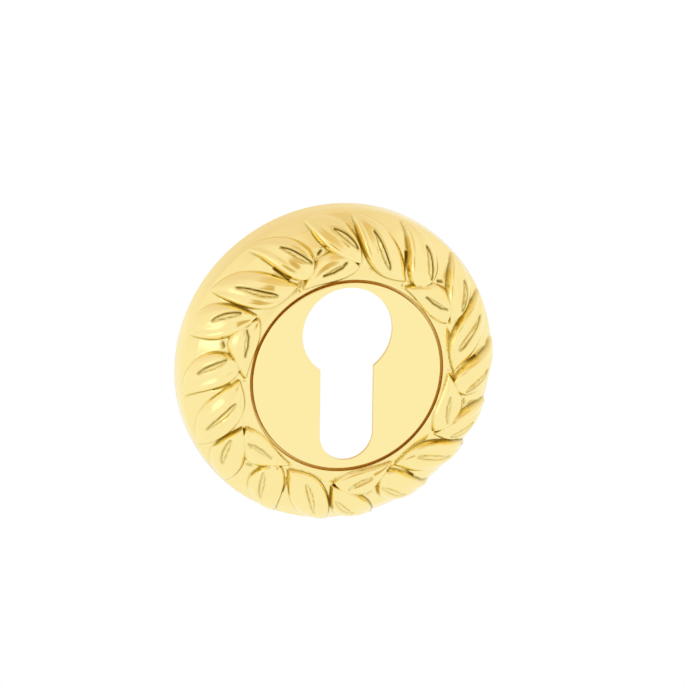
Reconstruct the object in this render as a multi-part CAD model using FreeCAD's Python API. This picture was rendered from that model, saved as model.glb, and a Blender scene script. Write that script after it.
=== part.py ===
import FreeCAD, Part
import math
import os

# A round keyhole escutcheon for a door lock with a euro profile cylinder: a cast
# ring carved with a wreath of leaves, a flat plate with the keyhole set in it, and
# a hidden mounting base that is screwed to the door. Sizes are in millimetres.
#
# Each piece is shaped with its axis along z: z = 0 is the face of the door, z grows
# towards the viewer, x points right and y up. At the end the pieces are stood up on
# the door: +Z is up and the front looks along -Y.

# The ring
rosette_radius = 30.0
ring_width = 11.5
inner_slope_width = 2.4
crest_rise = 0.55
ring_wall = 2.6
lip_thickness = 1.7
ceiling_thickness = 3.85
ceiling_width = 3.75
trough_depth = 1.25
trough_angle = 34.0
trough_shoulder_depth = 0.7
trough_shoulder_angle = 58.0
trough_end_angle = 76.0

# The leaves of the wreath
repeats = 6
repeat_start = 95.35
crown_lift = 0.5
edge_drop = 0.35
leaf_bite = 0.65
leaf_stations = 7
first_station = 0.03
last_station = 0.955

# The plate and its keyhole
plate_gap = 0.5
plate_face_height = 10.9
plate_thickness = 0.6
flange_width = 2.0
flange_clearance = 0.25
keyhole_head_radius = 8.6
keyhole_slot_width = 10.2
keyhole_top_margin = 0.93
keyhole_foot_margin = 1.67

# The mounting base
base_thickness = 2.2
base_clearance = 0.3
base_rim_height = 3.6
base_rim_wall = 1.4
window_side_inset = 4.0
window_foot_margin = 3.6
screw_inset = 8.1
screw_hole_radius = 2.15
screw_head_radius = 4.1
screw_head_depth = 1.2
post_angle = 32.0
post_span = 14.0
post_wall = 1.8
catch_count = 4
catch_first_angle = 45.0
catch_width = 9.0
catch_height = 1.5
catch_reach = 0.6
catch_play = 0.1

# Sizes worked out from those above
full_turn = 360.0
origin = FreeCAD.Vector(0, 0, 0)
axis = FreeCAD.Vector(0, 0, 1)
lip_radius = rosette_radius - ring_width
crest_radius = lip_radius + inner_slope_width
roll_radius = rosette_radius - crest_radius
crest_height = plate_face_height + crest_rise
roll_height = crest_height - roll_radius
plate_radius = lip_radius - plate_gap
flange_height = plate_face_height - lip_thickness
flange_radius = plate_radius + flange_width
seat_radius = flange_radius + flange_clearance
cup_radius = plate_radius - plate_thickness
post_height = flange_height - plate_thickness
wall_radius = rosette_radius - ring_wall
base_radius = wall_radius - base_clearance
screw_distance = base_radius - screw_inset
keyhole_head_height = plate_radius - keyhole_top_margin - keyhole_head_radius
keyhole_foot_height = keyhole_foot_margin - plate_radius + keyhole_slot_width / 2

# One repeat of the wreath has four leaves. Each edge of a leaf is a curve from its
# base to its tip, with two handles between. The first number of a point is the angle
# round the ring, clockwise from the start of the repeat. The second is the angle down
# the roll from its crest, and points on the crest's inner side, towards the plate,
# are negative. Both are in degrees.
WREATH = {
    "broad leaf": {
        "base": (27.0, -1.9),
        "left": ((4.0, -21.0), (-0.1, 20.6)),
        "right": ((19.9, 25.7), (13.8, 68.7)),
        "tip": (-1.1, 73.7),
    },
    "middle leaf": {
        "base": (33.7, 0.0),
        "left": ((22.3, -4.9), (22.0, 54.5)),
        "right": ((48.8, 21.4), (30.3, 83.9)),
        "tip": (18.0, 73.7),
    },
    "upright leaf": {
        "base": (61.5, 4.4),
        "left": ((46.0, 13.2), (42.6, 32.6)),
        "right": ((61.5, 33.0), (56.2, 87.7)),
        "tip": (41.3, 73.7),
    },
    "inner leaf": {
        "base": (60.6, 0.6),
        "left": ((54.0, -22.7), (36.8, -11.4)),
        "right": ((44.1, 46.4), (41.0, 12.7)),
        "tip": (28.0, -8.8),
    },
}


def turned(radius, height, angle):
    """The point at a radius and height, turned by an angle in degrees from +x."""
    turn = math.radians(angle)
    return FreeCAD.Vector(radius * math.cos(turn), radius * math.sin(turn), height)


def roll_point(down, lift):
    """Radius and height of a point on the ring's face, lifted off it by a distance."""
    if down < 0:
        inward = -math.radians(down) * roll_radius
        fall = crest_rise * (inward / inner_slope_width) ** 2
        return crest_radius - inward, crest_height - fall + lift
    reach = roll_radius + lift
    slope = math.radians(down)
    return crest_radius + reach * math.sin(slope), roll_height + reach * math.cos(slope)


def face_point(place, lift):
    """A point of the wreath on the ring's face, lifted off it."""
    around, down = place
    radius, height = roll_point(down, lift)
    return turned(radius, height, -(repeat_start + around))


def between(first, second, share):
    """The place at a share of the way from one place to another."""
    return tuple(a + (b - a) * share for a, b in zip(first, second))


def on_edge(outline, side, along):
    """The place at a share of the way along one edge of a leaf."""
    first, second = outline[side]
    near = between(outline["base"], first, along)
    middle = between(first, second, along)
    far = between(second, outline["tip"], along)
    return between(between(near, middle, along), between(middle, far, along), along)


def revolved(start, steps, angle=full_turn):
    """A solid turned about the axis from a closed outline of radius and height. A step
    is the point that a line ends at, or the two points that an arc passes and ends at."""
    edges = []
    here = FreeCAD.Vector(start[0], 0, start[1])
    for step in steps + [(start,)]:
        points = [FreeCAD.Vector(radius, 0, height) for radius, height in step]
        if len(points) == 2:
            edges.append(Part.Arc(here, points[0], points[1]).toShape())
        else:
            edges.append(Part.LineSegment(here, points[0]).toShape())
        here = points[-1]
    return Part.Face(Part.Wire(edges)).revolve(origin, axis, angle)


def catches(play):
    """The base's catches as one set of wedges, or their pockets in the ring where they
    are given play."""
    reach = catch_reach + play
    wedge_span = math.degrees((catch_width + 2 * play) / base_radius)
    wedge = revolved(
        (base_radius - reach, catch_height - reach),
        [
            ((base_radius, catch_height - reach),),
            ((base_radius + reach, catch_height),),
            ((base_radius, catch_height + reach),),
            ((base_radius - reach, catch_height + reach),),
        ],
        wedge_span,
    )
    wedges = []
    for i in range(catch_count):
        copy = wedge.copy()
        copy.rotate(origin, axis, catch_first_angle + full_turn / catch_count * i - wedge_span / 2)
        wedges.append(copy)
    return wedges


def ring_blank():
    """The ring before carving: a hollow roll with a smooth outer wall, a trough where
    the wreath lies, a lip round the plate, and pockets for the base's catches."""
    ceiling_height = crest_height - ceiling_thickness
    blank = revolved(
        (rosette_radius, 0),
        [
            ((rosette_radius, roll_height),),
            (roll_point((90 + trough_end_angle) / 2, 0), roll_point(trough_end_angle, 0)),
            (roll_point(trough_shoulder_angle, -trough_shoulder_depth),),
            (roll_point(trough_angle, -trough_depth),),
            (roll_point(trough_angle / 2, -trough_depth), roll_point(0, -trough_depth)),
            ((lip_radius, plate_face_height),),
            ((lip_radius, flange_height),),
            ((seat_radius, flange_height),),
            ((seat_radius, ceiling_height),),
            ((seat_radius + ceiling_width, ceiling_height),),
            ((wall_radius, base_rim_height + base_clearance),),
            ((wall_radius, 0),),
        ],
    )
    return blank.cut(catches(catch_play))


def leaf_section(outline, along):
    """One flat section across a leaf: a crowned top, two sides, and a root in the ring."""
    left = on_edge(outline, "left", along)
    right = on_edge(outline, "right", along)
    middle = between(left, right, 0.5)
    rise = math.sin(math.pi * along**0.8)
    root = -trough_depth - leaf_bite
    top_left = face_point(left, -edge_drop * rise)
    top_right = face_point(right, -edge_drop * rise)
    plane = Part.Plane(top_left, top_right, face_point(middle, root))
    crown, foot_right, foot_middle, foot_left = [
        plane.value(*plane.parameter(face_point(place, lift)))
        for place, lift in ((middle, crown_lift * rise), (right, root), (middle, root), (left, root))
    ]
    edges = [
        Part.Arc(top_left, crown, top_right).toShape(),
        Part.LineSegment(top_right, foot_right).toShape(),
        Part.Arc(foot_right, foot_middle, foot_left).toShape(),
        Part.LineSegment(foot_left, top_left).toShape(),
    ]
    return Part.Wire(edges)


def leaf(outline):
    """A leaf as a loft through its sections, from base to tip."""
    step = (last_station - first_station) / (leaf_stations - 1)
    stations = [first_station + step * i for i in range(leaf_stations)]
    return Part.makeLoft([leaf_section(outline, along) for along in stations], True, False)


def carved_ring():
    """The ring with its wreath of leaves, the same repeat all the way round. The opening
    and the flange's seat are bored last, so that no leaf reaches into them."""
    leaves = []
    for outline in WREATH.values():
        pattern = leaf(outline)
        for i in range(repeats):
            copy = pattern.copy()
            copy.rotate(origin, axis, full_turn / repeats * i)
            leaves.append(copy)
    opening = Part.makeCylinder(lip_radius, crest_height + crown_lift)
    seat = Part.makeCylinder(seat_radius, flange_height)
    return ring_blank().fuse(leaves).cut([opening, seat]).Solids[0]


def keyhole():
    """The euro profile keyhole as a cutter: a round head over a slot with a round foot."""
    low = flange_height - plate_thickness
    height = plate_face_height - low
    slot_half = keyhole_slot_width / 2
    head = Part.makeCylinder(keyhole_head_radius, height, FreeCAD.Vector(0, keyhole_head_height, low))
    foot = Part.makeCylinder(slot_half, height, FreeCAD.Vector(0, keyhole_foot_height, low))
    slot_corner = FreeCAD.Vector(-slot_half, keyhole_foot_height, low)
    slot_length = keyhole_head_height - keyhole_foot_height
    slot = Part.makeBox(keyhole_slot_width, slot_length, height, slot_corner)
    return head.fuse([slot, foot]).removeSplitter()


def keyhole_plate():
    """The plate pressed from sheet: a flat face, a short wall and a flange that the
    ring's lip holds down."""
    blank = revolved(
        (0, plate_face_height),
        [
            ((plate_radius, plate_face_height),),
            ((plate_radius, flange_height),),
            ((flange_radius, flange_height),),
            ((flange_radius, post_height),),
            ((cup_radius, post_height),),
            ((cup_radius, plate_face_height - plate_thickness),),
            ((0, plate_face_height - plate_thickness),),
        ],
    )
    return blank.cut(keyhole())


def base_window(height):
    """The cutter for the base's window, which is round at both ends."""
    half = plate_radius - window_side_inset
    top = flange_radius - half
    bottom = window_foot_margin - base_radius + half
    ends = [Part.makeCylinder(half, height, FreeCAD.Vector(0, y, 0)) for y in (top, bottom)]
    middle = Part.makeBox(2 * half, top - bottom, height, FreeCAD.Vector(-half, bottom, 0))
    return middle.fuse(ends).removeSplitter()


def mounting_base():
    """The base under the ring: a disc with a rim and catches that hold the ring, posts
    that carry the plate, a window for the lock cylinder, and two screw holes."""
    rim_radius = base_radius - base_rim_wall
    disc = revolved(
        (0, 0),
        [
            ((base_radius, 0),),
            ((base_radius, base_rim_height),),
            ((rim_radius, base_rim_height),),
            ((rim_radius, base_thickness),),
            ((0, base_thickness),),
        ],
    )
    post = revolved(
        (flange_radius - post_wall, 0),
        [
            ((flange_radius, 0),),
            ((flange_radius, post_height),),
            ((flange_radius - post_wall, post_height),),
        ],
        post_span,
    )
    added = []
    for middle in (post_angle, 180 - post_angle, 180 + post_angle, full_turn - post_angle):
        copy = post.copy()
        copy.rotate(origin, axis, middle - post_span / 2)
        added.append(copy)
    cutters = [base_window(base_thickness)]
    for side in (-1, 1):
        place = FreeCAD.Vector(side * screw_distance, 0, 0)
        head_place = place + axis * (base_thickness - screw_head_depth)
        cutters.append(Part.makeCylinder(screw_hole_radius, base_thickness, place))
        cutters.append(Part.makeCylinder(screw_head_radius, screw_head_depth, head_place))
    return disc.fuse(added + catches(0)).removeSplitter().cut(cutters)


def stood_up(shape):
    """A shape turned from its own frame to the door's: +Z up, the front along -Y."""
    copy = shape.copy()
    copy.rotate(origin, FreeCAD.Vector(1, 0, 0), 90)
    return copy


def main():
    os.makedirs("parts", exist_ok=True)
    pieces = {
        "carved_ring": carved_ring(),
        "keyhole_plate": keyhole_plate(),
        "mounting_base": mounting_base(),
    }
    for name, shape in pieces.items():
        stood_up(shape).exportStep(os.path.join("parts", name + ".step"))
        print(name, shape.isValid(), len(shape.Solids), round(shape.Volume, 1))


main()
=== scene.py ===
import math

import bpy
import numpy as np
from bpy.props import FloatProperty, IntProperty, PointerProperty, StringProperty
from mathutils import Matrix, Vector


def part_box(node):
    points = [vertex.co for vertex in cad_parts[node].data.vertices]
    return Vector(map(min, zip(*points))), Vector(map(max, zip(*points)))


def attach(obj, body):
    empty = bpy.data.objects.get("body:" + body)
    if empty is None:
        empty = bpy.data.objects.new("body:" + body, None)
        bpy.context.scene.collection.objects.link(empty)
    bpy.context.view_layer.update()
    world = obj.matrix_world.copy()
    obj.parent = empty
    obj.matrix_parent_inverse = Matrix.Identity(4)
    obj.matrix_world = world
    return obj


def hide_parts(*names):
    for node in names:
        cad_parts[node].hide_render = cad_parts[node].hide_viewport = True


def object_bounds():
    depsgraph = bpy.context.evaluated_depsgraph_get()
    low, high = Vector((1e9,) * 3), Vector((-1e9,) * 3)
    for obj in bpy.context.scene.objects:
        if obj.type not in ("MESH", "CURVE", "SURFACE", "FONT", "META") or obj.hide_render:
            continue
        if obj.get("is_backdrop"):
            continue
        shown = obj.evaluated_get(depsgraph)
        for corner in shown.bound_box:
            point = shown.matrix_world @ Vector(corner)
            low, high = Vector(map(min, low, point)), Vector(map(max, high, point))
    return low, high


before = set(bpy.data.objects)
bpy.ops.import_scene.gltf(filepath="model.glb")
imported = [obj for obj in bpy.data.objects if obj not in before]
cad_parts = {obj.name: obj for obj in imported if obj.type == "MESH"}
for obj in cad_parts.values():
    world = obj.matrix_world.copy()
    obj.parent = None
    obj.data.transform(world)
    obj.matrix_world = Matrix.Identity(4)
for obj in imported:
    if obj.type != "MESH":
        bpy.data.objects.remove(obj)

bl_info = {
    "name": "Leaf wreath keyhole escutcheon",
    "version": (1, 0, 0),
    "blender": (4, 5, 0),
    "location": "3D View > Sidebar > Escutcheon",
    "description": "Carves and finishes a round keyhole escutcheon around its packed frame",
    "category": "Add Mesh",
}

# The frame gives the outer sizes, in metres. The front looks along -Y.
CAD_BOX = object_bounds()
RING_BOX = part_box("carved_ring")
PLATE_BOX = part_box("keyhole_plate")
BODY = "root"

# One repeat of the wreath, as on the cast ring. Each edge of a leaf is a curve from its
# base to its tip with two handles. A point is the angle round the ring and the angle
# down the roll from its crest, in degrees. The rib is a list of places along and across
# the leaf, with half the rib's width in millimetres. The last entry is how much painted
# shade the creases left and right of the rib get.
WREATH = {
    "broad leaf": {
        "base": (27.0, -1.9),
        "left": ((4.0, -21.0), (-0.1, 20.6)),
        "right": ((19.9, 25.7), (13.8, 68.7)),
        "tip": (-1.1, 73.7),
        "rib": (
            (0.24, 0.35, 0.0), (0.32, 0.4, 0.35), (0.45, 0.44, 0.42),
            (0.55, 0.47, 0.38), (0.65, 0.51, 0.15), (0.72, 0.52, 0.0),
        ),
        "dark": (0.6, 1.0),
    },
    "middle leaf": {
        "base": (33.7, 0.0),
        "left": ((22.3, -4.9), (22.0, 54.5)),
        "right": ((48.8, 21.4), (30.3, 83.9)),
        "tip": (18.0, 73.7),
        "rib": (
            (0.2, 0.86, 0.0), (0.3, 0.69, 0.35), (0.4, 0.62, 0.4),
            (0.5, 0.6, 0.28), (0.61, 0.565, 0.0),
        ),
        "dark": (0.55, 1.0),
    },
    "upright leaf": {
        "base": (61.5, 4.4),
        "left": ((46.0, 13.2), (42.6, 32.6)),
        "right": ((61.5, 33.0), (56.2, 87.7)),
        "tip": (41.3, 73.7),
        "rib": (
            (0.2, 0.79, 0.0), (0.3, 0.69, 0.35), (0.42, 0.62, 0.4),
            (0.53, 0.56, 0.25), (0.61, 0.51, 0.0),
        ),
        "dark": (0.6, 1.0),
    },
    "inner leaf": {
        "base": (60.6, 0.6),
        "left": ((54.0, -22.7), (36.8, -11.4)),
        "right": ((44.1, 46.4), (41.0, 12.7)),
        "tip": (28.0, -8.8),
        "rib": (
            (0.17, 0.65, 0.0), (0.29, 0.45, 0.2), (0.45, 0.385, 0.28), (0.64, 0.38, 0.0),
        ),
        "dark": (1.0, 0.5),
    },
}

# Pits that the chisel leaves where leaves meet, which also get painted shade: both ends
# on the roll, in degrees as above, then the pit's half width and its depth in millimetres.
PITS = (
    ((24.6, 8.0), (22.2, 34.0), 0.22, 0.3),
    ((41.9, 25.0), (43.4, 28.5), 0.36, 0.3),
    ((26.5, -9.2), (26.5, -7.0), 0.11, 0.12),
)

# Vertices nearer than this are one, in metres.
MERGE = 1e-6

# Where the middle of a rounded foot edge lies, from each side, as a share of its radius.
FOOT_CORNER = 0.3

# Height of a leaf over the roll, in millimetres, at shares of its length.
CROWN = (
    (0.0, 0.12, 0.3, 0.5, 0.75, 0.92, 1.0),
    (-0.3, 0.05, 0.4, 0.5, 0.42, 0.28, 0.12),
)

# Rise across a leaf, at shares of the way from each edge to the rib, as a share of its
# height over the ground. The left half has a rim and a hollow behind it, and the right
# half is crowned.
LEFT_RISE = (
    (0.0, 0.04, 0.08, 0.15, 0.24, 0.34, 0.5, 0.65, 0.85, 1.0),
    (0.0, 0.45, 0.72, 0.9, 0.96, 0.96, 0.885, 0.87, 0.94, 1.0),
)
RIGHT_RISE = (
    (0.0, 0.04, 0.1, 0.25, 0.5, 0.8, 1.0),
    (0.0, 0.22, 0.36, 0.6, 0.85, 0.98, 1.0),
)

# Parts of the studio that differ from its plain white: three darker ones, then the lamp
# on the left. Each has the azimuth and elevation of its middle and the angles from there
# at which it starts to fade and ends, in degrees, then its colour and its strength.
STUDIO_PATCHES = (
    (-2, 22, 8, 19, "#D8C084", 1.0),
    (35, 60, 8, 30, "#EFDDB8", 1.0),
    (180, 60, 20, 70, "#F4EBE2", 1.0),
    (-58, -4, 3, 25, "#FFFFFF", 1.6),
)


class RingSettings(bpy.types.PropertyGroup):
    """Sizes of the cast ring."""

    radius: FloatProperty(
        name="Ring radius", description="Outer radius of the ring",
        default=RING_BOX[1].x, unit="LENGTH",
    )
    roll: FloatProperty(
        name="Roll radius", description="Radius of the ring's rounded section",
        default=0.0091, unit="LENGTH",
    )
    crest: FloatProperty(
        name="Crest height", description="Height of the roll's crest over the door",
        default=0.01145, unit="LENGTH",
    )
    lip: FloatProperty(
        name="Lip radius", description="Radius of the opening that the plate sits in",
        default=0.0185, unit="LENGTH",
    )
    wall: FloatProperty(
        name="Wall", description="Thickness of the cast wall",
        default=0.0026, unit="LENGTH",
    )
    lip_round: FloatProperty(
        name="Lip rounding", description="Rounding of the opening's edge",
        default=0.0003, unit="LENGTH",
    )
    foot_round: FloatProperty(
        name="Foot rounding", description="Rounding of the ring's edge on the door",
        default=0.0003, unit="LENGTH",
    )
    hollow: FloatProperty(
        name="Hollow", description="Height over the door where the hollow starts to narrow",
        default=0.0039, unit="LENGTH",
    )
    roof: FloatProperty(
        name="Roof", description="Depth of the hollow's roof below the crest",
        default=0.00385, unit="LENGTH",
    )
    roof_width: FloatProperty(
        name="Roof width", description="Width of the hollow's level roof",
        default=0.00375, unit="LENGTH",
    )
    seat: FloatProperty(
        name="Seat", description="Depth of the flange's seat below the plate's face",
        default=0.0017, unit="LENGTH",
    )
    seat_gap: FloatProperty(
        name="Seat gap", description="Room round the plate's flange",
        default=0.00025, unit="LENGTH",
    )
    trough_start: FloatProperty(
        name="Trough start", description="Angle down the roll where the trough starts",
        default=math.radians(76), subtype="ANGLE",
    )
    shoulder: FloatProperty(
        name="Trough shoulder", description="Angle down the roll of the trough's first bend",
        default=math.radians(58), subtype="ANGLE",
    )
    shoulder_depth: FloatProperty(
        name="Shoulder depth", description="Depth of the ground at the trough's first bend",
        default=0.0007, unit="LENGTH",
    )
    trough_turn: FloatProperty(
        name="Trough bend", description="Angle down the roll where the trough is fully deep",
        default=math.radians(34), subtype="ANGLE",
    )
    trough: FloatProperty(
        name="Trough depth", description="Depth of the ground between the leaves",
        default=0.00125, unit="LENGTH",
    )
    unpolished: FloatProperty(
        name="Unpolished", description="Depth below the crest where the lip is no longer polished",
        default=0.0007, unit="LENGTH",
    )
    columns: IntProperty(
        name="Columns in a repeat", description="Steps round one repeat of the wreath",
        default=140, min=24,
    )
    rows: IntProperty(
        name="Carved rows", description="Rows of the carved part of the section",
        default=94, min=16,
    )


class WreathSettings(bpy.types.PropertyGroup):
    """Sizes of the carving."""

    repeats: IntProperty(
        name="Repeats", description="How often the group of four leaves is repeated",
        default=6, min=1,
    )
    start: FloatProperty(
        name="Start", description="Angle where a repeat starts, clockwise from the right",
        default=math.radians(95.35), subtype="ANGLE",
    )
    lean: FloatProperty(
        name="Lean", description="Turn of the leaves round the ring, by the angle down the roll",
        default=-0.26,
    )
    crease: FloatProperty(
        name="Crease depth", description="Depth of the creases beside a rib",
        default=0.00034, unit="LENGTH",
    )
    crease_width: FloatProperty(
        name="Crease width", description="Width of the creases beside a rib",
        default=0.00022, unit="LENGTH",
    )
    rib: FloatProperty(
        name="Rib height", description="Height of a rib between its creases",
        default=0.00008, unit="LENGTH",
    )
    softness: FloatProperty(
        name="Softness", description="How far polishing has rounded the edges",
        default=0.00007, unit="LENGTH",
    )
    fill_reach: FloatProperty(
        name="Fill reach", description="Distance over which the casting fills a narrow gap",
        default=0.0004, unit="LENGTH",
    )
    fill_depth: FloatProperty(
        name="Fill depth", description="How deep a narrow gap is below its surroundings at most",
        default=0.0005, unit="LENGTH",
    )
    # Painted shade of hollows that lie below their surroundings.
    recess_reach: FloatProperty(
        name="Recess reach", description="How far round a hollow its surroundings are averaged",
        default=0.00018, unit="LENGTH",
    )
    recess_depth: FloatProperty(
        name="Recess depth", description="Depth at which a hollow is fully dark",
        default=0.00028, unit="LENGTH",
    )
    # Painted shade in the pits.
    pit_shade: FloatProperty(
        name="Pit shade", description="How dark the pits between the leaves are",
        default=0.92, min=0, max=1,
    )
    # Painted shade in the creases, darkest at this angle round the ring and lighter away from it.
    directional_shade: FloatProperty(
        name="Directional shade", description="Angle where creases are darkest, clockwise from the right",
        default=math.radians(262), subtype="ANGLE",
    )
    directional_shade_change: FloatProperty(
        name="Tarnish change", description="How much less dark the creases are a quarter round",
        default=0.4, min=0, max=0.5,
    )


class PlateSettings(bpy.types.PropertyGroup):
    """Sizes of the pressed plate and its keyhole."""

    radius: FloatProperty(
        name="Plate radius", description="Radius of the plate's face",
        default=0.018, unit="LENGTH",
    )
    edge_round: FloatProperty(
        name="Edge rounding", description="Rounding of the plate's outer edge",
        default=0.00025, unit="LENGTH",
    )
    wall: FloatProperty(
        name="Wall height", description="Height of the wall between face and flange",
        default=0.0017, unit="LENGTH",
    )
    sheet: FloatProperty(
        name="Sheet", description="Thickness of the sheet",
        default=0.0006, unit="LENGTH",
    )
    head_radius: FloatProperty(
        name="Keyhole round", description="Radius of the keyhole's round",
        default=0.0086, unit="LENGTH",
    )
    head_height: FloatProperty(
        name="Round's height", description="Height of the round's centre over the plate's",
        default=0.00847, unit="LENGTH",
    )
    foot_height: FloatProperty(
        name="Foot's height", description="Height of the foot's centre over the plate's",
        default=-0.01123, unit="LENGTH",
    )
    slot_width: FloatProperty(
        name="Slot width", description="Width of the keyhole's slot",
        default=0.0102, unit="LENGTH",
    )
    keyhole_round: FloatProperty(
        name="Broken edge", description="Rounding of the keyhole's edges",
        default=0.00018, unit="LENGTH",
    )
    polished_share: FloatProperty(
        name="Polished share", description="Part of the edge's rounding that is still polished",
        default=0.6, min=0, max=1,
    )
    steps: IntProperty(
        name="Steps", description="Steps round the plate",
        default=240, min=24,
    )


class FinishSettings(bpy.types.PropertyGroup):
    """Colours of the finishes and of the painted shade, as sRGB hex values."""

    gold: StringProperty(
        name="Gold", description="Colour of the gold plating", default="#FEEBA4",
    )
    plate_gold: StringProperty(
        name="Plate gold", description="Colour of the plate", default="#FEEDA8",
    )
    # Painted shade in recesses and creases, from shallow to deepest.
    shallow: StringProperty(
        name="Shallow recess", description="Colour of shallow recesses", default="#D2BC6E",
    )
    deep: StringProperty(
        name="Deep recess", description="Colour of deeper recesses", default="#856A1E",
    )
    deepest: StringProperty(
        name="Deepest recess", description="Colour of the deepest recesses", default="#1A1302",
    )
    # Browner than the gold as painted shade in the groove round the plate and on the keyhole's walls.
    edge: StringProperty(
        name="Cut edge", description="Colour of the unpolished edges", default="#ECC97A",
    )
    nylon: StringProperty(
        name="Nylon", description="Colour of the base", default="#26241F",
    )


class StageSettings(bpy.types.PropertyGroup):
    """Camera and studio."""

    azimuth: FloatProperty(
        name="Azimuth", description="Turn of the camera round the part",
        default=math.radians(-16.8), subtype="ANGLE",
    )
    elevation: FloatProperty(
        name="Elevation", description="Height of the camera over the horizon",
        default=math.radians(18.78), subtype="ANGLE",
    )
    roll: FloatProperty(
        name="Roll", description="Roll of the camera about its view",
        default=math.radians(0.75), subtype="ANGLE",
    )
    distance: FloatProperty(
        name="Distance", description="Distance of the camera from the plate",
        default=1.5, unit="LENGTH",
    )
    view_width: FloatProperty(
        name="View width", description="Width of the picture at the plate",
        default=0.12592, unit="LENGTH",
    )
    shift_right: FloatProperty(
        name="Plate to the right", description="How far right of the picture's centre the plate is",
        default=0.000836, unit="LENGTH",
    )
    shift_down: FloatProperty(
        name="Plate below", description="How far below the picture's centre the plate is",
        default=0.006149, unit="LENGTH",
    )
    floor_drop: FloatProperty(
        name="Floor", description="Distance of the floor below the part's centre",
        default=0.3, unit="LENGTH",
    )
    floor_size: FloatProperty(
        name="Floor size", description="Length of the floor's sides",
        default=12, unit="LENGTH",
    )
    reach: FloatProperty(
        name="Reach", description="How far the camera sees",
        default=20, unit="LENGTH",
    )


def linear(code):
    """An sRGB hex value as a linear colour."""
    parts = [int(code[i:i + 2], 16) / 255 for i in (1, 3, 5)]
    return [p / 12.92 if p <= 0.04045 else ((p + 0.055) / 1.055) ** 2.4 for p in parts] + [1.0]


def add(tree, kind, inputs=None, **settings):
    """A new shader node with its settings, and its inputs filled or linked."""
    node = tree.nodes.new(kind)
    for name, value in settings.items():
        setattr(node, name, value)
    for name, value in (inputs or {}).items():
        if isinstance(value, bpy.types.NodeSocket):
            tree.links.new(value, node.inputs[name])
        else:
            node.inputs[name].default_value = value
    return node


def new_material(name):
    """An empty node material and its tree."""
    material = bpy.data.materials.new(name)
    material.use_nodes = True
    material.node_tree.nodes.clear()
    return material, material.node_tree


def deselect():
    """Leaves edit mode and deselects every object."""
    if bpy.context.object and bpy.context.object.mode != "OBJECT":
        bpy.ops.object.mode_set(mode="OBJECT")
    bpy.ops.object.select_all(action="DESELECT")


def select_only(piece):
    """Selects the piece alone and makes it the active one."""
    deselect()
    piece.select_set(True)
    bpy.context.view_layer.objects.active = piece


def coordinates(mesh):
    """The mesh's vertices as rows of x, y and z."""
    flat = np.empty(len(mesh.vertices) * 3)
    mesh.vertices.foreach_get("co", flat)
    return flat.reshape(-1, 3)


def face_centres(mesh):
    """The middles of the mesh's faces as rows of x, y and z."""
    flat = np.empty(len(mesh.polygons) * 3)
    mesh.polygons.foreach_get("center", flat)
    return flat.reshape(-1, 3)


def move_to(mesh, points):
    """Moves the mesh's vertices to the points."""
    mesh.vertices.foreach_set("co", np.asarray(points, float).ravel())
    mesh.update()


def spun(name, section, steps):
    """A new piece: a closed section of radius and height, spun round the part's axis."""
    deselect()
    bpy.ops.mesh.primitive_circle_add(vertices=len(section), fill_type="NOTHING")
    piece = bpy.context.object
    piece.name = name
    piece.data.name = name
    move_to(piece.data, [(radius, -height, 0) for radius, height in section])
    bpy.ops.object.mode_set(mode="EDIT")
    bpy.ops.mesh.select_all(action="SELECT")
    bpy.ops.mesh.spin(steps=steps, angle=2 * math.pi, center=(0, 0, 0), axis=(0, 1, 0))
    bpy.ops.mesh.select_all(action="SELECT")
    bpy.ops.mesh.remove_doubles(threshold=MERGE)
    bpy.ops.mesh.normals_make_consistent(inside=False)
    bpy.ops.object.mode_set(mode="OBJECT")
    return piece


def paint(piece, face_material, shaded_cut_material, cut):
    """Gives the piece the material of its faces, and the edge material, browner as painted shade, where
    it is cut.
    """
    piece.data.materials.append(face_material)
    piece.data.materials.append(shaded_cut_material)
    piece.data.polygons.foreach_set("material_index", cut.astype(int))


def on_curve(start, handles, end, along):
    """Points at shares of the way along a curve with two handles."""
    points = np.array((start, *handles, end), float)
    back = 1 - along
    weights = np.stack((back**3, 3 * back**2 * along, 3 * back * along**2, along**3), -1)
    return weights @ points


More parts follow.
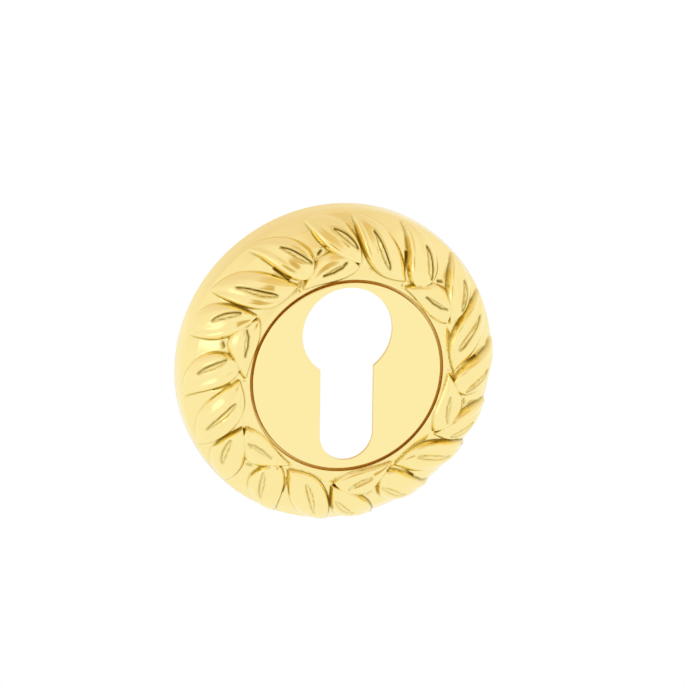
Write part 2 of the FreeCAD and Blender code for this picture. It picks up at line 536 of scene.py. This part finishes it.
class Relief:
    """Heights of one repeat of the wreath over the roll, in millimetres, and the painted
    shade of its hollows and creases, on a fine grid of the angle round the ring and the
    angle down the roll, in degrees."""

    around_cell = 0.15
    down_cell = 0.4
    down_start = -17.0
    down_end = 93.0

    # Points along and across a leaf, close enough to reach every cell of the grid.
    leaf_points = (420, 320)
    # A leaf still counts as the top one this far below the surface, in millimetres.
    covered = 0.02
    # Share of a rib's length over which each end fades out.
    rib_fade = 0.06
    # Half width from which a rib has its full height, and the least one, in millimetres.
    full_rib = 0.3
    least_rib = 0.05
    # Power that keeps the painted shade light in shallow recesses.
    contrast = 1.5

    def __init__(self, ring, wreath):
        self.repeat = 360 / wreath.repeats
        self.roll = ring.roll * 1000
        crest_radius = (ring.radius - ring.roll) * 1000
        self.middle_radius = crest_radius + self.roll / 2
        self.slope_width = crest_radius - ring.lip * 1000
        self.trough = ring.trough * 1000
        self.trough_corners = (
            (math.degrees(ring.trough_start), 0.0),
            (math.degrees(ring.shoulder), ring.shoulder_depth * 1000),
            (math.degrees(ring.trough_turn), self.trough),
        )
        self.crease = wreath.crease * 1000
        self.crease_width = wreath.crease_width * 1000
        self.rib = wreath.rib * 1000
        self.columns = round(self.repeat / self.around_cell)
        self.rows = round((self.down_end - self.down_start) / self.down_cell) + 1
        down = self.down_start + self.down_cell * np.arange(self.rows)
        heights = np.tile(self.ground(down), (self.columns, 1))
        shade = np.zeros_like(heights)
        leaves = [self.leaf(outline) for outline in WREATH.values()]
        for cells, height, _ in leaves:
            np.maximum.at(heights, cells, height)
        level = self.softened(heights, wreath.fill_reach * 1000)
        heights = np.maximum(heights, level - wreath.fill_depth * 1000)
        # Painted shade of the creases of the leaf that lies on top.
        for (column, row), height, crease in leaves:
            on_top = height > heights[column, row] - self.covered
            np.maximum.at(shade, (column[on_top], row[on_top]), crease[on_top])
        # Each pit lowers the heights and gets painted shade.
        for *place, pit_depth in PITS:
            pit = self.pit(down, *place)
            heights -= pit_depth * pit
            shade = np.maximum(shade, wreath.pit_shade * pit)
        self.heights = self.softened(heights, wreath.softness * 1000)
        # Painted shade: darker where the surface lies below its surroundings, and in the creases.
        fall = self.softened(self.heights, wreath.recess_reach * 1000) - self.heights
        self.recess_shade = np.clip(fall / (wreath.recess_depth * 1000), 0, 1) ** self.contrast
        self.crease_shade = self.softened(shade**self.contrast, wreath.softness * 1000)

    def ground(self, down):
        """Height of the trough's floor: two straight cuts in from the outer wall, level
        with the roll as far as the crest, and straight up to the lip."""
        share = np.clip(1 + np.radians(down) * self.roll / self.slope_width, 0, 1)
        height = -self.trough * np.where(down < 0, share, 1.0)
        corners = self.trough_corners
        for (outer, outer_depth), (inner, inner_depth) in zip(corners, corners[1:]):
            cut = self.cut(down, outer, self.roll - outer_depth, inner, self.roll - inner_depth)
            height = np.where((down > inner) & (down <= outer), cut, height)
        return np.where(down > corners[0][0], 0.0, height)

    def cut(self, down, first, first_reach, second, second_reach):
        """Height over the roll of a straight cut between two points of the section."""
        first, second = math.radians(first), math.radians(second)
        p = np.array((math.sin(first), math.cos(first))) * first_reach
        step = np.array((math.sin(second), math.cos(second))) * second_reach - p
        across = np.sin(np.radians(down)) * step[1] - np.cos(np.radians(down)) * step[0]
        return (p[0] * step[1] - p[1] * step[0]) / np.where(across == 0, 1, across) - self.roll

    def millimetres(self, step):
        """Length of a step given in degrees round the ring and down the roll."""
        return np.radians(np.hypot(step[..., 0] * self.middle_radius, step[..., 1] * self.roll))

    def leaf(self, outline):
        """A leaf as cells of the grid, with its height and the painted shade of its creases there."""
        along = np.linspace(0, 1, self.leaf_points[0])[:, None]
        across = np.linspace(0, 1, self.leaf_points[1])[None, :]
        left = on_curve(outline["base"], outline["left"], outline["tip"], along[:, 0])
        right = on_curve(outline["base"], outline["right"], outline["tip"], along[:, 0])
        place = left[:, None] + (right - left)[:, None] * across[..., None]
        stations, middles, halves = zip(*outline["rib"])
        middle = np.interp(along, stations, middles)
        half = np.interp(along, stations, halves)
        rise = np.where(
            across < middle,
            np.interp(across / middle, *LEFT_RISE),
            np.interp((1 - across) / (1 - middle), *RIGHT_RISE),
        )
        ground = self.ground(place[..., 1])
        offset = (across - middle) * self.millimetres(right - left)[:, None]
        share = (along - stations[0]) / (stations[-1] - stations[0])
        fade = np.clip(np.minimum(share, 1 - share) / self.rib_fade, 0, 1)
        creases = [
            fade * np.exp(-((offset + side * half) / self.crease_width) ** 2) for side in (1, -1)
        ]
        ridge = np.clip(1 - (offset / np.maximum(half, self.least_rib)) ** 2, 0, 1)
        ridge = ridge * fade * np.clip(half / self.full_rib, 0, 1)
        height = ground + (np.interp(along, *CROWN) - ground) * rise
        height += self.rib * ridge - self.crease * np.maximum(*creases)
        # Painted shade in the creases, each side as dark as the leaf's entry says.
        shade = np.maximum(*(crease * dark for crease, dark in zip(creases, outline["dark"])))
        column = np.round(place[..., 0] / self.around_cell).astype(int) % self.columns
        row = np.round((place[..., 1] - self.down_start) / self.down_cell).astype(int)
        inside = (row >= 0) & (row < self.rows)
        return (column[inside], row[inside]), height[inside], shade[inside]

    def pit(self, down, start, end, half_width):
        """A pit between two places, as a share of its depth in each cell."""
        around = np.arange(self.columns) * self.around_cell
        turn = (around - start[0] + self.repeat / 2) % self.repeat - self.repeat / 2
        scale = math.radians(1) * np.array((self.middle_radius, self.roll))
        step = (np.array(end) - start) * scale
        x = turn[:, None] * scale[0]
        y = (down - start[1])[None, :] * scale[1]
        share = np.clip((x * step[0] + y * step[1]) / (step @ step), 0, 1)
        squared = (x - share * step[0]) ** 2 + (y - share * step[1]) ** 2
        return np.exp(-squared / half_width**2)

    def softened(self, grid, distance):
        """The grid averaged over a distance in millimetres, in both directions. It closes
        on itself round the ring, and its ends down the roll are repeated."""
        around_cell = math.radians(self.around_cell) * self.middle_radius
        down_cell = math.radians(self.down_cell) * self.roll
        offsets, weights = self.weights(distance / around_cell)
        grid = sum(w * np.roll(grid, o, 0) for w, o in zip(weights, offsets))
        offsets, weights = self.weights(distance / down_cell)
        reach = offsets[-1]
        padded = np.pad(grid, ((0, 0), (reach, reach)), mode="edge")
        return sum(w * padded[:, reach + o:][:, :self.rows] for w, o in zip(weights, offsets))

    def weights(self, spread):
        """Offsets in cells and their weights, which add up to one, for a bell curve."""
        reach = math.ceil(3 * spread)
        offsets = np.arange(-reach, reach + 1)
        weights = np.exp(-0.5 * (offsets / spread) ** 2)
        return offsets, weights / weights.sum()

    def at(self, grid, around, down):
        """Values of a grid at angles round the ring, from the start of a repeat, and down
        the roll."""
        column = (around % self.repeat) / self.around_cell
        row = np.clip((down - self.down_start) / self.down_cell, 0, self.rows - 1.001)
        left = np.floor(column).astype(int)
        low = np.floor(row).astype(int)
        x = column - left
        y = row - low
        left = left % self.columns
        right = (left + 1) % self.columns
        near = grid[left, low] * (1 - y) + grid[left, low + 1] * y
        far = grid[right, low] * (1 - y) + grid[right, low + 1] * y
        return near * (1 - x) + far * x


def ring_section(ring):
    """The ring's closed section before carving, as a list of radius and height: from the
    lip over the roll to the foot, and back through the hollow."""
    crest_radius = ring.radius - ring.roll
    roll_height = ring.crest - ring.roll
    face = -PLATE_BOX[0].y
    slope_width = crest_radius - ring.lip
    lip_slope = math.atan(2 * (ring.crest - face) / slope_width)
    inner_angle = -(slope_width - ring.lip_round * (1 - math.sin(lip_slope))) / ring.roll
    points = []
    carved = np.linspace(inner_angle, ring.trough_start, ring.rows)
    for down in (*carved, *np.linspace(ring.trough_start, math.pi / 2, 10)[1:]):
        if down < 0:
            inward = -down * ring.roll
            fall = (ring.crest - face) * (inward / slope_width) ** 2
            points.append((crest_radius - inward, ring.crest - fall))
        else:
            radius = crest_radius + ring.roll * math.sin(down)
            points.append((radius, roll_height + ring.roll * math.cos(down)))
    wall = ring.radius - ring.wall
    edge = ring.foot_round
    near_corner = edge * FOOT_CORNER
    roof = ring.crest - ring.roof
    seat = face - ring.seat
    seat_radius = PLATE_BOX[1].x + ring.seat_gap
    points += [
        (ring.radius, 2 * edge),
        (ring.radius, edge),
        (ring.radius - near_corner, near_corner),
        (ring.radius - edge, 0.0),
        (wall, 0.0),
        (wall, ring.hollow),
        (seat_radius + ring.roof_width, roof),
        (seat_radius, roof),
        (seat_radius, seat),
        (ring.lip, seat),
    ]
    start_radius, start_height = points[0]
    centre_radius = start_radius + ring.lip_round * math.sin(lip_slope)
    centre_height = start_height - ring.lip_round * math.cos(lip_slope)
    points.append((ring.lip, centre_height - ring.lip_round))
    for turn in np.linspace(math.pi / 2, lip_slope, 5)[:-1]:
        points.append((
            centre_radius - ring.lip_round * math.sin(turn),
            centre_height + ring.lip_round * math.cos(turn),
        ))
    return points


class ESCUTCHEON_OT_ring(bpy.types.Operator):
    """Spin the ring's section and carve the wreath of leaves into it"""

    bl_idname = "escutcheon.ring"
    bl_label = "Carved ring"

    # Faces that meet at a smaller angle are shaded smooth.
    smooth_angle = math.radians(50)
    # How exactly a point has to lie on a surface to count as part of it, in metres.
    tolerance = 1e-5
    # The slope inside the crest ends above this depth below it, in metres.
    slope_end = 0.0006

    def execute(self, context):
        scene = context.scene
        ring = scene.escutcheon_ring
        wreath = scene.escutcheon_wreath
        piece = spun("leaf_wreath_ring", ring_section(ring), ring.columns * wreath.repeats)
        self.carve(piece.data, ring, wreath)
        select_only(piece)
        bpy.ops.object.shade_smooth_by_angle(angle=self.smooth_angle)
        finish = scene.escutcheon_finish
        recess_shade_colours = (finish.shallow, finish.deep, finish.deepest)
        centres = face_centres(piece.data)
        # The lip's wall gets the edge material, whose browner colour is painted shade in the groove.
        at_lip = np.hypot(centres[:, 0], centres[:, 2]) < ring.lip + self.tolerance
        cut = at_lip & (-centres[:, 1] < ring.crest - ring.unpolished)
        gold = gold_material(finish.gold, recess_shade_colours)
        paint(piece, gold, shaded_edge_material(finish.edge), cut)
        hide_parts("carved_ring")
        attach(piece, BODY)
        return {"FINISHED"}

    def carve(self, mesh, ring, wreath):
        """Leans the columns along the leaves, and back below their tips, lifts the roll by
        the relief, and stores the painted shade of the recesses and creases."""
        relief = Relief(ring, wreath)
        tips = math.degrees(ring.trough_start)
        crest_radius = ring.radius - ring.roll
        roll_height = ring.crest - ring.roll
        points = coordinates(mesh)
        radius = np.hypot(points[:, 0], points[:, 2])
        height = -points[:, 1]
        clockwise = np.degrees(np.arctan2(-points[:, 2], points[:, 0]))
        outward = radius - crest_radius
        upward = height - roll_height
        inward = outward < 0
        down = np.degrees(np.where(inward, outward / ring.roll, np.arctan2(outward, upward)))
        at_surface = np.hypot(outward, upward) > ring.roll - self.tolerance
        on_roll = at_surface & ~inward & (upward >= -self.tolerance)
        on_slope = inward & (height > ring.crest - self.slope_end)
        face = on_roll | on_slope
        leant = np.where(down < tips, down, tips * (90 - down) / (90 - tips))
        turn = clockwise + np.where(face, wreath.lean * leant, 0.0)
        around = turn - math.degrees(wreath.start)
        lift = np.where(face, relief.at(relief.heights, around, down), 0.0) / 1000
        # Painted shade in the creases, darkest at one angle round the ring and lighter away from it.
        change = wreath.directional_shade_change
        directional_shade = 1 - change + change * np.cos(np.radians(turn) - wreath.directional_shade)
        crease_shade = relief.at(relief.crease_shade, around, down) * directional_shade
        darkness = np.maximum(relief.at(relief.recess_shade, around, down), crease_shade)
        # Painted shade, stored for the colour of the gold material.
        recess_shade = mesh.attributes.new("recess_shade", "FLOAT", "POINT")
        recess_shade.data.foreach_set("value", np.where(face, darkness, 0.0))
        slope = np.radians(np.clip(down, 0, 90))
        radius = radius + lift * np.where(face, np.sin(slope), 0.0)
        height = height + lift * np.where(face, np.cos(slope), 0.0)
        turned = np.radians(turn)
        move_to(mesh, np.stack((radius * np.cos(turned), -height, -radius * np.sin(turned)), -1))


class ESCUTCHEON_OT_plate(bpy.types.Operator):
    """Spin the plate's section and cut the keyhole through it"""

    bl_idname = "escutcheon.plate"
    bl_label = "Keyhole plate"

    # Steps round the keyhole's round and round its foot.
    round_steps = 128
    foot_steps = 96
    # Vertices nearer than this are one after the cut, in metres.
    merge = 5e-6
    # Faces that meet at a smaller angle are joined, left sharp or shaded smooth.
    flat_angle = math.radians(0.5)
    sharp_angle = math.radians(40)
    smooth_angle = math.radians(35)

    def execute(self, context):
        plate = context.scene.escutcheon_plate
        piece = spun("keyhole_plate_face", self.section(plate), plate.steps)
        for cutter in self.cutters(plate):
            self.cut(piece, cutter)
        self.soften(piece, plate)
        finish = context.scene.escutcheon_finish
        # The wall, flange and keyhole's walls get the edge material, whose browner colour is painted
        # shade.
        depth = face_centres(piece.data)[:, 1] - PLATE_BOX[0].y
        cut = depth > plate.edge_round * plate.polished_share
        paint(piece, plate_material(finish.plate_gold), shaded_edge_material(finish.edge), cut)
        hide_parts("keyhole_plate")
        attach(piece, BODY)
        return {"FINISHED"}

    def section(self, plate):
        """The plate's section as a closed list of radius and height: a rounded face, a
        short wall and the flange under the ring's lip."""
        face = -PLATE_BOX[0].y
        flange = face - plate.wall
        inside = plate.radius - plate.sheet
        points = [(0.0, face)]
        for turn in np.linspace(0, math.pi / 2, 7):
            points.append((
                plate.radius - plate.edge_round * (1 - math.sin(turn)),
                face - plate.edge_round * (1 - math.cos(turn)),
            ))
        return points + [
            (plate.radius, flange),
            (PLATE_BOX[1].x, flange),
            (PLATE_BOX[1].x, flange - plate.sheet),
            (inside, flange - plate.sheet),
            (inside, face - plate.sheet),
            (0.0, face - plate.sheet),
        ]

    def cutters(self, plate):
        """The keyhole's round, foot and slot as three solids."""
        depth = 4 * plate.sheet
        middle = PLATE_BOX[0].y
        for steps, radius, height in (
            (self.round_steps, plate.head_radius, plate.head_height),
            (self.foot_steps, plate.slot_width / 2, plate.foot_height),
        ):
            bpy.ops.mesh.primitive_cylinder_add(
                vertices=steps, radius=radius, depth=depth,
                location=(0, middle, height), rotation=(math.pi / 2, 0, 0),
            )
            yield bpy.context.object
        length = plate.head_height - plate.foot_height
        bpy.ops.mesh.primitive_cube_add(size=1, location=(0, middle, plate.foot_height + length / 2))
        slot = bpy.context.object
        slot.scale = (plate.slot_width, depth, length)
        yield slot

    def cut(self, piece, cutter):
        """Takes the cutter's solid out of the piece."""
        select_only(piece)
        change = piece.modifiers.new("keyhole", "BOOLEAN")
        change.operation = "DIFFERENCE"
        change.object = cutter
        bpy.ops.object.modifier_apply(modifier=change.name)
        bpy.data.objects.remove(cutter)

    def soften(self, piece, plate):
        """Breaks the sharp edges, as a press tool and the polish leave them."""
        select_only(piece)
        bpy.ops.object.mode_set(mode="EDIT")
        bpy.ops.mesh.select_all(action="SELECT")
        bpy.ops.mesh.remove_doubles(threshold=self.merge)
        bpy.ops.mesh.dissolve_limited(angle_limit=self.flat_angle)
        bpy.ops.object.mode_set(mode="OBJECT")
        edges = piece.modifiers.new("edges", "BEVEL")
        edges.width = plate.keyhole_round
        edges.segments = 3
        edges.limit_method = "ANGLE"
        edges.angle_limit = self.sharp_angle
        edges.harden_normals = True
        bpy.ops.object.shade_smooth_by_angle(angle=self.smooth_angle)
        bpy.ops.object.modifier_apply(modifier=edges.name)


class ESCUTCHEON_OT_base(bpy.types.Operator):
    """Finish the mounting base"""

    bl_idname = "escutcheon.base"
    bl_label = "Mounting base"

    def execute(self, context):
        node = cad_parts["mounting_base"]
        node.data.materials.clear()
        node.data.materials.append(nylon_material(context.scene.escutcheon_finish.nylon))
        return {"FINISHED"}


def toned(tree, share, colours):
    """A colour that runs through the given ones, evenly spaced, as the share grows."""
    ramp = add(tree, "ShaderNodeValToRGB", {"Fac": share})
    stops = ramp.color_ramp.elements
    last = len(colours) - 1
    for i in range(1, last):
        stops.new(i / last)
    for stop, code in zip(stops, colours):
        stop.color = linear(code)
    return ramp.outputs["Color"]


def mixed(tree, share, first, second, blend="MIX"):
    """The mix of two colours. The node has sockets of the same name for each kind of data,
    so those for colours are found by their places."""
    inputs = {"Factor": share, 6: first, 7: second}
    node = add(tree, "ShaderNodeMix", inputs, data_type="RGBA", blend_type=blend)
    return node.outputs[2]


def specks(tree, size, detail):
    """Noise with specks of about the given size in metres, fixed to the object."""
    place = add(tree, "ShaderNodeTexCoord").outputs["Object"]
    noise = add(tree, "ShaderNodeTexNoise", {"Vector": place, "Scale": 1 / size, "Detail": detail})
    return noise.outputs["Fac"]


def between(tree, share, low, high):
    """A value that runs from low to high as the share grows."""
    ranged = add(tree, "ShaderNodeMapRange", {"Value": share, "To Min": low, "To Max": high})
    return ranged.outputs["Result"]


def bumped(tree, height, strength, distance):
    """The surface's normal, tilted by a height."""
    bump = add(tree, "ShaderNodeBump", {"Height": height, "Strength": strength, "Distance": distance})
    return bump.outputs["Normal"]


def surfaced(material, **inputs):
    """The material with one principled shader, whose inputs are named with underscores."""
    tree = material.node_tree
    inputs = {name.replace("_", " "): value for name, value in inputs.items()}
    shader = add(tree, "ShaderNodeBsdfPrincipled", inputs)
    add(tree, "ShaderNodeOutputMaterial", {"Surface": shader.outputs["BSDF"]})
    return material


def gold_material(colour, recess_shade_colours):
    """Gold plating on a polished casting: a mirror with a faint ripple from the buffing
    wheel. Recesses and creases get painted shade through darker colours, and are duller."""
    material, tree = new_material("gold_plated_casting")
    # The attribute's painted shade darkens the colour and dulls the surface.
    recess_shade = add(tree, "ShaderNodeAttribute", attribute_name="recess_shade").outputs["Fac"]
    polish = between(tree, specks(tree, 0.0012, 4.0), 0.11, 0.17)
    rough = add(tree, "ShaderNodeMath", {0: recess_shade, 1: 0.35, 2: polish}, operation="MULTIPLY_ADD")
    return surfaced(
        material, Base_Color=toned(tree, recess_shade, (colour, *recess_shade_colours)), Metallic=1.0,
        Roughness=rough.outputs[0], Normal=bumped(tree, specks(tree, 0.0035, 2.0), 0.06, 0.0002),
    )


def plate_material(colour):
    """Gold plating on rolled brass sheet: flatter than the casting, with hardly any
    ripple, so it mirrors the studio as one even tone."""
    material, tree = new_material("gold_plated_sheet")
    polish = between(tree, specks(tree, 0.002, 3.0), 0.08, 0.12)
    return surfaced(material, Base_Color=linear(colour), Metallic=1.0, Roughness=polish)


def shaded_edge_material(colour):
    """Thin plating on a cut edge that the buffing wheel doesn't reach: duller than the
    faces, with the fine scratches of the tool. Its browner colour is painted shade."""
    material, tree = new_material("gold_edge_with_painted_shade")
    scratched = between(tree, specks(tree, 0.0005, 2.0), 0.24, 0.34)
    return surfaced(material, Base_Color=linear(colour), Metallic=1.0, Roughness=scratched)


def nylon_material(colour):
    """Moulded black nylon: a fine spark-eroded texture that keeps its sheen dull."""
    material, tree = new_material("moulded_nylon")
    grain = bumped(tree, specks(tree, 0.0004, 3.0), 0.4, 0.00005)
    return surfaced(material, Base_Color=linear(colour), Roughness=0.55, Normal=grain)


class ESCUTCHEON_OT_stage(bpy.types.Operator):
    """Set the camera, the white studio and the floor"""

    bl_idname = "escutcheon.stage"
    bl_label = "Stage"

    def execute(self, context):
        stage = context.scene.escutcheon_stage
        context.scene.view_settings.view_transform = "Standard"
        self.camera(context, stage)
        self.floor(context, stage)
        self.studio(context)
        return {"FINISHED"}

    def camera(self, context, stage):
        """Looks at the plate from above and the left, through a long lens."""
        turn, rise, roll = stage.azimuth, stage.elevation, stage.roll
        back = Vector((math.sin(turn) * math.cos(rise), -math.cos(turn) * math.cos(rise), math.sin(rise)))
        level = Vector((math.cos(turn), math.sin(turn), 0))
        upright = back.cross(level)
        right = level * math.cos(roll) + upright * math.sin(roll)
        up = upright * math.cos(roll) - level * math.sin(roll)
        centre = Vector((0, PLATE_BOX[0].y, 0)) - right * stage.shift_right + up * stage.shift_down
        deselect()
        bpy.ops.object.camera_add()
        camera = context.object
        aimed = Matrix((right, up, back)).transposed().to_4x4()
        camera.matrix_world = Matrix.Translation(centre + back * stage.distance) @ aimed
        camera.data.angle = 2 * math.atan(stage.view_width / 2 / stage.distance)
        camera.data.clip_end = stage.reach
        context.scene.camera = camera

    def floor(self, context, stage):
        """A white floor below the part, which glows where the camera or metal sees it."""
        deselect()
        bpy.ops.mesh.primitive_plane_add(size=stage.floor_size, location=(0, 0, -stage.floor_drop))
        floor = context.object
        floor.name = "floor"
        material, tree = new_material("studio_floor")
        rays = add(tree, "ShaderNodeLightPath").outputs
        kinds = {0: rays["Is Camera Ray"], 1: rays["Is Glossy Ray"]}
        seen = add(tree, "ShaderNodeMath", kinds, operation="MAXIMUM").outputs[0]
        matt = add(tree, "ShaderNodeBsdfDiffuse", {"Color": linear("#F4F4F4")}).outputs[0]
        glow = add(tree, "ShaderNodeEmission", {"Color": linear("#FFFFFF"), "Strength": 1.0}).outputs[0]
        mix = add(tree, "ShaderNodeMixShader", {0: seen, 1: matt, 2: glow})
        add(tree, "ShaderNodeOutputMaterial", {"Surface": mix.outputs[0]})
        floor.data.materials.append(material)
        floor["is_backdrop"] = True

    def studio(self, context):
        """A white tent round the part, which the camera sees as plain white. Metal mirrors
        its darker parts too, and the lamp."""
        world = bpy.data.worlds.new("studio")
        world.use_nodes = True
        tree = world.node_tree
        tree.nodes.clear()
        direction = add(tree, "ShaderNodeTexCoord").outputs["Generated"]
        colour = linear("#FEFBF8")
        for azimuth, elevation, inner, outer, shade, strength in STUDIO_PATCHES:
            turn, rise = math.radians(azimuth), math.radians(elevation)
            aim = (math.sin(turn) * math.cos(rise), -math.cos(turn) * math.cos(rise), math.sin(rise))
            toward = add(tree, "ShaderNodeVectorMath", {0: direction, 1: aim}, operation="DOT_PRODUCT")
            patch = add(tree, "ShaderNodeMapRange", {
                "Value": toward.outputs["Value"],
                "From Min": math.cos(math.radians(outer)), "From Max": math.cos(math.radians(inner)),
            }, interpolation_type="SMOOTHSTEP").outputs["Result"]
            light = [strength * part for part in linear(shade)]
            colour = mixed(tree, patch, colour, light, "MULTIPLY")
        rays = add(tree, "ShaderNodeLightPath").outputs
        seen = mixed(tree, rays["Is Camera Ray"], colour, linear("#FFFFFF"))
        light = add(tree, "ShaderNodeBackground", {"Color": seen, "Strength": 1.0})
        add(tree, "ShaderNodeOutputWorld", {"Surface": light.outputs[0]})
        context.scene.world = world


class ESCUTCHEON_PT_panel(bpy.types.Panel):
    """The escutcheon's pieces, in the order in which they are made"""

    bl_idname = "ESCUTCHEON_PT_panel"
    bl_label = "Escutcheon"
    bl_space_type = "VIEW_3D"
    bl_region_type = "UI"
    bl_category = "Escutcheon"

    def draw(self, context):
        for name in ("ring", "wreath", "plate", "finish", "stage"):
            settings = getattr(context.scene, "escutcheon_" + name)
            box = self.layout.box()
            for key in settings.__annotations__:
                box.prop(settings, key)
        for operator in OPERATORS:
            self.layout.operator(operator.bl_idname)


SETTINGS = {
    "escutcheon_ring": RingSettings,
    "escutcheon_wreath": WreathSettings,
    "escutcheon_plate": PlateSettings,
    "escutcheon_finish": FinishSettings,
    "escutcheon_stage": StageSettings,
}
OPERATORS = (ESCUTCHEON_OT_ring, ESCUTCHEON_OT_plate, ESCUTCHEON_OT_base, ESCUTCHEON_OT_stage)
CLASSES = (*SETTINGS.values(), *OPERATORS, ESCUTCHEON_PT_panel)


def register():
    for one in CLASSES:
        bpy.utils.register_class(one)
    for name, group in SETTINGS.items():
        setattr(bpy.types.Scene, name, PointerProperty(type=group))


def unregister():
    for name in SETTINGS:
        delattr(bpy.types.Scene, name)
    for one in reversed(CLASSES):
        bpy.utils.unregister_class(one)


def main():
    register()
    bpy.ops.escutcheon.ring()
    bpy.ops.escutcheon.plate()
    bpy.ops.escutcheon.base()
    bpy.ops.escutcheon.stage()
    boxes = {"cad": CAD_BOX, "visual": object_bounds()}
    {name: [list(corner) for corner in box] for name, box in boxes.items()}


if __name__ == "__main__":
    main()
